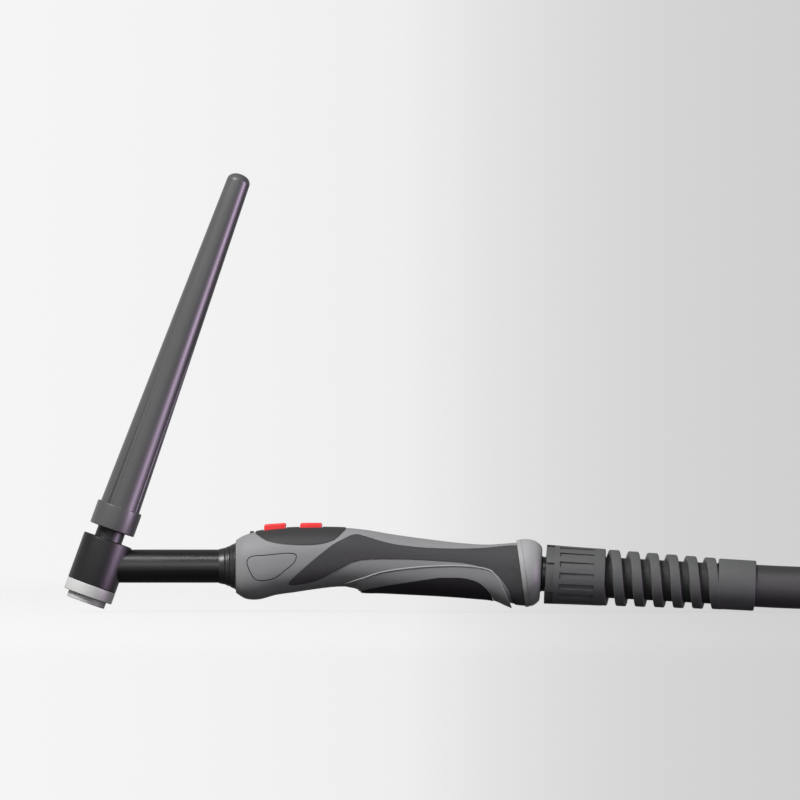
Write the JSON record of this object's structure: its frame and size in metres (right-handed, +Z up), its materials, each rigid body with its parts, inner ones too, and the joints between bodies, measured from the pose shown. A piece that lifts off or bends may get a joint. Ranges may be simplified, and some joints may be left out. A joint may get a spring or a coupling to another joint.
{
  "type": "tig welding torch",
  "caption": "Angled-head TIG torch with long back cap, ball-jointed two-button handle, spiral bend relief and coiled hose lead with plug.",
  "frame": {"origin": "middle of the torch's own footprint, without the hose lead, on the plane that it rests on", "axes": "+Z up; +X runs along the neck and handle from the head towards the hose; +Y to the right half of the handle"},
  "size_m": [0.6162, 0.2848, 0.197],
  "materials": {
    "cover_black": "fine moulded satin",
    "gasket_white": "matt white",
    "cap_grey": "matt moulded",
    "brass": "machined",
    "copper": "drawn tube",
    "neck_black": "glossy sleeve",
    "boot_black": "satin rubber",
    "seal_black": "smooth rubber",
    "shell_grey": "fine spark texture",
    "panel_grey": "fine spark texture",
    "belly_grey": "fine spark texture",
    "grip_dark": "soft moulded grip",
    "pad_black": "soft moulded grip",
    "screw_steel": "zinc plated",
    "switch_grey": "satin moulded",
    "board_green": "circuit board",
    "switch_body": "moulded",
    "button_red": "satin red",
    "ring_grey": "satin moulded",
    "seat_cream": "low friction liner",
    "ball_black": "smooth",
    "relief_grey": "matt rubber",
    "cable_brown": "smooth sheath",
    "lead_red": "insulated wire",
    "hose_black": "matt jacket",
    "tie_black": "woven strap",
    "plug_boot_black": "ribbed boot",
    "plug_black": "moulded",
    "nut_grey": "moulded"
  },
  "bodies": {
    "cable": {"strain_relief": "relief_grey", "cable_core": "cable_brown", "hose_run": "hose_black", "hose_coil": "hose_black", "hose_end": "hose_black", "coil_ties": "tie_black", "plug_boot": "plug_boot_black", "plug_housing": "plug_black", "plug_insert": "brass", "plug_pins": "brass", "plug_o_ring": "seal_black"},
    "swivel": {"swivel_ball": "ball_black"},
    "seat": {"ball_seat": "seat_cream"},
    "torch": {"head_body": "brass", "head_cover": "cover_black", "cup_gasket": "gasket_white", "neck_tube": "copper", "neck_sleeve": "neck_black", "neck_boot": "boot_black", "power_union": "brass", "power_cable": "cable_brown", "control_leads": "lead_red", "shell_left": "shell_grey", "shell_right": "shell_grey", "side_grip_left": "grip_dark", "side_grip_right": "grip_dark", "side_panel": "panel_grey", "belly_cover": "belly_grey", "belly_grip": "pad_black", "shell_screws": "screw_steel", "switch_housing": "switch_grey", "switch_board": "board_green", "micro_switches": "switch_body", "rear_ring": "ring_grey"},
    "button_front": {"button_front": "button_red"},
    "button_rear": {"button_rear": "button_red"},
    "cap_slide": {"cap_o_ring": "seal_black"},
    "cap": {"back_cap": "cap_grey", "cap_insert": "brass"},
    "plug_nut": {"plug_nut": "nut_grey"}
  },
  "joints": [
    {"name": "tail_swivel", "type": "hinge", "parent": "cable", "child": "swivel", "pos_m": [0.05163, 0, 0.01707], "axis": [0.9984, 0, -0.0558], "range_deg": [-180, 180]},
    {"name": "ball_pitch", "type": "hinge", "parent": "swivel", "child": "seat", "pos_m": [0.05163, 0, 0.01707], "axis": [0, 1, 0], "range_deg": [-10, 10]},
    {"name": "ball_yaw", "type": "hinge", "parent": "seat", "child": "torch", "pos_m": [0.05163, 0, 0.01707], "axis": [0.0558, 0, 0.9984], "range_deg": [-10, 10]},
    {"name": "front_button_press", "type": "slide", "parent": "torch", "child": "button_front", "axis": [0, 0, -1], "range_m": [0, 0.001], "stiffness_N_per_m": 1500, "springref_m": -0.001},
    {"name": "rear_button_press", "type": "slide", "parent": "torch", "child": "button_rear", "axis": [0, 0, -1], "range_m": [0, 0.001], "stiffness_N_per_m": 1500, "springref_m": -0.001},
    {"name": "cap_lift", "type": "slide", "parent": "torch", "child": "cap_slide", "axis": [0.342, 0, 0.9397], "range_m": [0, 0.002]},
    {"name": "cap_turn", "type": "hinge", "parent": "cap_slide", "child": "cap", "pos_m": [-0.13428, 0, 0.03657], "axis": [0.342, 0, 0.9397], "range_deg": [0, 720]},
    {"name": "nut_turn", "type": "hinge", "parent": "cable", "child": "plug_nut", "pos_m": [0.24715, 0.07, 0.0604], "axis": [0, -1, 0], "continuous": true}
  ],
  "couplings": [
    {"joint": "cap_turn", "follows": "cap_lift", "rad_per_m": 6283.2}
  ]
}
